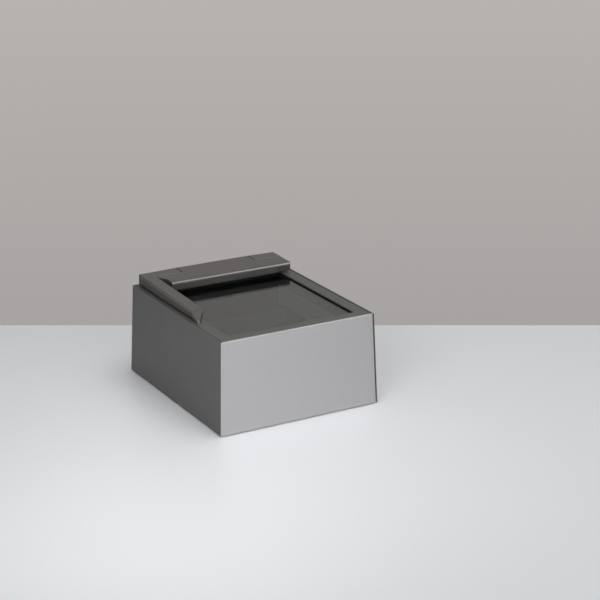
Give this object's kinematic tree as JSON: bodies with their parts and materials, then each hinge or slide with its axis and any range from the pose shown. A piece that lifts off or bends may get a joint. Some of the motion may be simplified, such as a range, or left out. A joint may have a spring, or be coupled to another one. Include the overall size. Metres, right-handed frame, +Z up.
{
  "type": "passport reader",
  "caption": "Desktop passport reader: a box with a glass reading window, a silver front and an L-shaped hood whose sprung flap holds an open document on the glass.",
  "frame": {"origin": "centre of the footprint, on the table", "axes": "+X right, -Y towards the user, +Z up"},
  "size_m": [0.1664, 0.1948, 0.1007],
  "materials": {
    "housing_paint": "satin dark grey paint",
    "front_silver": "fine matte silver",
    "bezel_plastic": "fine-grained dark grey",
    "hood_plastic": "satin dark grey",
    "cover_plastic": "satin dark grey",
    "tray_plastic": "moulded black",
    "foot_rubber": "soft black rubber",
    "pad_foam": "soft black foam",
    "window_glass": "clear polished glass",
    "lens_glass": "coated lens glass",
    "mirror_silver": "front-silvered glass",
    "chamber_black": "dull black",
    "board_green": "solder-masked board",
    "board_white": "white-masked board",
    "lamp_epoxy": "pale yellow",
    "diffuser_white": "frosted white",
    "chip_black": "moulded black",
    "can_metal": "drawn can",
    "ribbon_film": "amber film",
    "connector_ivory": "ivory",
    "socket_metal": "plated sheet",
    "socket_black": "moulded black",
    "contact_brass": "plated",
    "plate_steel": "dull",
    "screw_steel": "zinc plated",
    "pin_steel": "ground",
    "spring_steel": "drawn wire"
  },
  "bodies": {
    "reader": {"side_housing": "housing_paint", "front_panel": "front_silver", "base_tray": "tray_plastic", "rubber_feet": "foot_rubber", "base_screws": "screw_steel", "front_panel_screws": "screw_steel", "top_bezel": "bezel_plastic", "bezel_screws": "screw_steel", "glass_gasket": "foot_rubber", "scan_glass": "window_glass", "optics_chamber": "chamber_black", "chamber_screws": "screw_steel", "fold_mirror": "mirror_silver", "mirror_cradle": "chamber_black", "camera_bracket": "chamber_black", "camera_bracket_screws": "screw_steel", "camera_board": "board_green", "image_sensor": "chip_black", "lens_barrel": "chamber_black", "camera_lens": "lens_glass", "light_boards": "board_white", "light_board_lamps": "lamp_epoxy", "light_diffusers": "diffuser_white", "antenna_ring": "board_green", "antenna_ribbon": "ribbon_film", "light_ribbons": "ribbon_film", "camera_ribbon": "ribbon_film", "main_board": "board_green", "main_board_screws": "screw_steel", "board_chips": "chip_black", "board_capacitors": "can_metal", "ribbon_connectors": "connector_ivory", "usb_socket": "socket_metal", "usb_tongue": "socket_black", "power_socket": "socket_black", "power_pin": "contact_brass", "socket_plate": "plate_steel", "socket_plate_screws": "screw_steel", "hood_base": "hood_plastic", "hood_cover": "cover_plastic", "hood_end_cover": "cover_plastic", "cover_screws": "screw_steel", "hood_screws": "screw_steel", "flap_bumpers": "foot_rubber", "hinge_pins": "pin_steel", "flap_springs": "spring_steel"},
    "flap": {"flap": "cover_plastic", "flap_pad": "pad_foam"}
  },
  "joints": [
    {"name": "flap_hinge", "type": "hinge", "parent": "reader", "child": "flap", "pos_m": [0, 0.09, 0.0965], "axis": [-1, 0, 0], "range_deg": [0, 35], "stiffness_Nm_per_rad": 0.08, "springref_deg": -20.05, "deforming": ["flap_springs"]}
  ]
}
